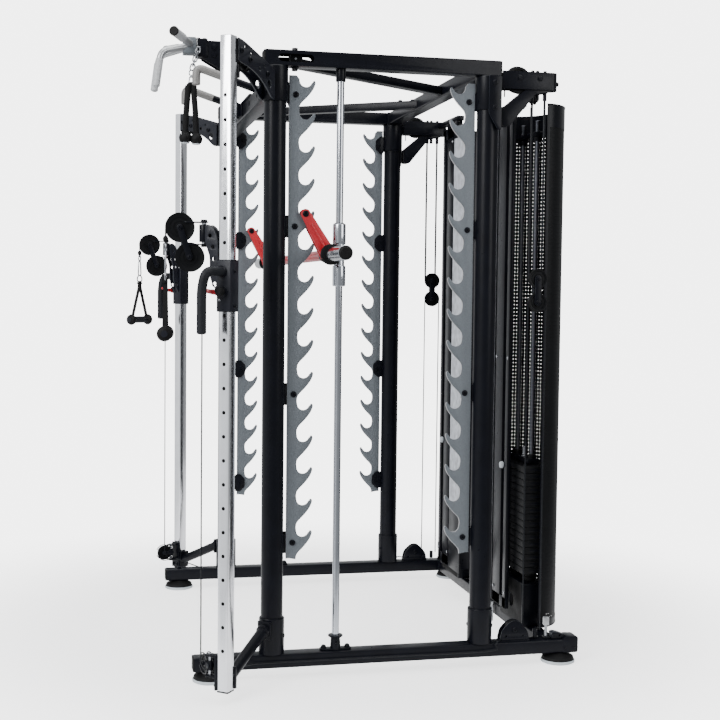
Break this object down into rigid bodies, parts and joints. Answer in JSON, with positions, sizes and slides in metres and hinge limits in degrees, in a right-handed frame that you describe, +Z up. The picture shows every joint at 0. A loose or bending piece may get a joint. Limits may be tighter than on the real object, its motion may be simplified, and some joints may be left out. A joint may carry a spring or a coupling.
{
  "type": "smith machine",
  "caption": "Cage frame with a guided barbell on vertical rods, notched rack plates, two adjustable pulley columns and two shrouded weight stacks.",
  "frame": {"origin": "on the floor under the middle of the machine's box", "axes": "+Z up, X across the machine along the barbell, -Y towards the front with the pulley columns, +Y towards the weight stacks"},
  "size_m": [2.034, 1.5372, 2.3139],
  "materials": {
    "black_paint": "fine-textured satin powder coat",
    "silver_paint": "silver-grey metallic powder coat",
    "chrome": "polished chrome plate",
    "red_paint": "gloss red powder coat",
    "nylon": "moulded nylon",
    "grip_rubber": "soft foam rubber and webbing",
    "cast_plate": "black coated steel plate",
    "cable_cover": "nylon-coated steel cable",
    "brushed_steel": "brushed"
  },
  "bodies": {
    "frame": {"base_rail_right": "black_paint", "base_rail_left": "black_paint", "upright_front_right": "black_paint", "upright_front_left": "black_paint", "upright_rear_right": "black_paint", "upright_rear_left": "black_paint", "top_rail_right": "black_paint", "top_rail_left": "black_paint", "top_brace_right": "black_paint", "top_brace_left": "black_paint", "rack_plate_front_right": "silver_paint", "rack_plate_front_left": "silver_paint", "rack_plate_rear_right": "silver_paint", "rack_plate_rear_left": "silver_paint", "guide_rod_right": "chrome", "guide_rod_left": "chrome", "pulley_column_right": "chrome", "pulley_column_left": "chrome", "column_head_bracket_right": "black_paint", "column_head_bracket_left": "black_paint", "column_foot_arm_right": "black_paint", "column_foot_arm_left": "black_paint", "stack_rods_right": "chrome", "stack_rods_left": "chrome", "lower_stack_right": "cast_plate", "lower_stack_left": "cast_plate", "stack_shroud_right": "black_paint", "stack_shroud_left": "black_paint", "stack_cover_right": "black_paint", "stack_cover_left": "black_paint", "cable_right": "cable_cover", "cable_left": "cable_cover", "rear_base_beam": "black_paint", "rear_top_beam": "black_paint", "front_top_beam": "black_paint", "pull_up_bar": "silver_paint"},
    "bar_carriage": {"bar_bearing_right": "chrome", "bar_bearing_left": "chrome"},
    "bar": {"smith_bar": "chrome", "hook_arm_right": "red_paint", "hook_arm_left": "red_paint"},
    "carriage_right": {"carriage_right": "black_paint"},
    "pin_right": {"pop_pin_right": "red_paint"},
    "swivel_right": {"swivel_block_right": "black_paint"},
    "pulley_upper_right": {"swivel_pulley_upper_right": "nylon"},
    "pulley_lower_right": {"swivel_pulley_lower_right": "nylon"},
    "handle_right": {"handle_right": "grip_rubber"},
    "stack_right": {"stack_head_right": "cast_plate"},
    "selector_right": {"selector_pin_right": "brushed_steel"},
    "block_right": {"floating_block_right": "nylon"},
    "carriage_left": {"carriage_left": "black_paint"},
    "pin_left": {"pop_pin_left": "red_paint"},
    "swivel_left": {"swivel_block_left": "black_paint"},
    "pulley_upper_left": {"swivel_pulley_upper_left": "nylon"},
    "pulley_lower_left": {"swivel_pulley_lower_left": "nylon"},
    "handle_left": {"handle_left": "grip_rubber"},
    "stack_left": {"stack_head_left": "cast_plate"},
    "selector_left": {"selector_pin_left": "brushed_steel"},
    "block_left": {"floating_block_left": "nylon"}
  },
  "joints": [
    {"name": "bar_slide", "type": "slide", "parent": "frame", "child": "bar_carriage", "axis": [0, 0, 1], "range_m": [-0.88208, 0.44104]},
    {"name": "bar_turn", "type": "hinge", "parent": "bar_carriage", "child": "bar", "pos_m": [0, -0.1784, 1.465], "axis": [1, 0, 0], "range_deg": [-30, 0]},
    {"name": "carriage_slide_right", "type": "slide", "parent": "frame", "child": "carriage_right", "axis": [0, 0, 1], "range_m": [-0.9282, 0.4641], "deforming": ["cable_right"]},
    {"name": "pin_pull_right", "type": "slide", "parent": "carriage_right", "child": "pin_right", "axis": [0.7986, -0.6018, 0], "range_m": [0, 0.014], "stiffness_N_per_m": 400, "springref_m": -0.01},
    {"name": "swivel_turn_right", "type": "hinge", "parent": "carriage_right", "child": "swivel_right", "pos_m": [0.88804, -0.62268, 1.52], "axis": [0, 0, 1], "range_deg": [-90, 30]},
    {"name": "upper_pulley_spin_right", "type": "hinge", "parent": "swivel_right", "child": "pulley_upper_right", "pos_m": [0.87866, -0.69911, 1.54], "axis": [0.9925, -0.1219, 0], "continuous": true},
    {"name": "lower_pulley_spin_right", "type": "hinge", "parent": "swivel_right", "child": "pulley_lower_right", "pos_m": [0.88256, -0.66734, 1.445], "axis": [0.9925, -0.1219, 0], "continuous": true},
    {"name": "handle_pull_right", "type": "slide", "parent": "swivel_right", "child": "handle_right", "axis": [0, 0, -1], "range_m": [0, 0.9]},
    {"name": "stack_lift_right", "type": "slide", "parent": "frame", "child": "stack_right", "axis": [0, 0, 1], "range_m": [0, 0.45]},
    {"name": "selector_pull_right", "type": "slide", "parent": "stack_right", "child": "selector_right", "axis": [0, -1, 0], "range_m": [0, 0.06]},
    {"name": "block_drop_right", "type": "slide", "parent": "frame", "child": "block_right", "axis": [0, 0, -1], "range_m": [0, 0.45]},
    {"name": "carriage_slide_left", "type": "slide", "parent": "frame", "child": "carriage_left", "axis": [0, 0, 1], "range_m": [-0.9282, 0.4641], "deforming": ["cable_left"]},
    {"name": "pin_pull_left", "type": "slide", "parent": "carriage_left", "child": "pin_left", "axis": [-0.7986, -0.6018, 0], "range_m": [0, 0.014], "stiffness_N_per_m": 400, "springref_m": -0.01},
    {"name": "swivel_turn_left", "type": "hinge", "parent": "carriage_left", "child": "swivel_left", "pos_m": [-0.88804, -0.62268, 1.52], "axis": [0, 0, 1], "range_deg": [-30, 90]},
    {"name": "upper_pulley_spin_left", "type": "hinge", "parent": "swivel_left", "child": "pulley_upper_left", "pos_m": [-0.87866, -0.69911, 1.54], "axis": [-0.9925, -0.1219, 0], "continuous": true},
    {"name": "lower_pulley_spin_left", "type": "hinge", "parent": "swivel_left", "child": "pulley_lower_left", "pos_m": [-0.88256, -0.66734, 1.445], "axis": [-0.9925, -0.1219, 0], "continuous": true},
    {"name": "handle_pull_left", "type": "slide", "parent": "swivel_left", "child": "handle_left", "axis": [0, 0, -1], "range_m": [0, 0.9]},
    {"name": "stack_lift_left", "type": "slide", "parent": "frame", "child": "stack_left", "axis": [0, 0, 1], "range_m": [0, 0.45]},
    {"name": "selector_pull_left", "type": "slide", "parent": "stack_left", "child": "selector_left", "axis": [0, -1, 0], "range_m": [0, 0.06]},
    {"name": "block_drop_left", "type": "slide", "parent": "frame", "child": "block_left", "axis": [0, 0, -1], "range_m": [0, 0.45]}
  ],
  "couplings": [
    {"joint": "handle_pull_right", "follows": "stack_lift_right", "ratio": 2},
    {"joint": "block_drop_right", "follows": "stack_lift_right", "ratio": 1},
    {"joint": "handle_pull_left", "follows": "stack_lift_left", "ratio": 2},
    {"joint": "block_drop_left", "follows": "stack_lift_left", "ratio": 1}
  ]
}
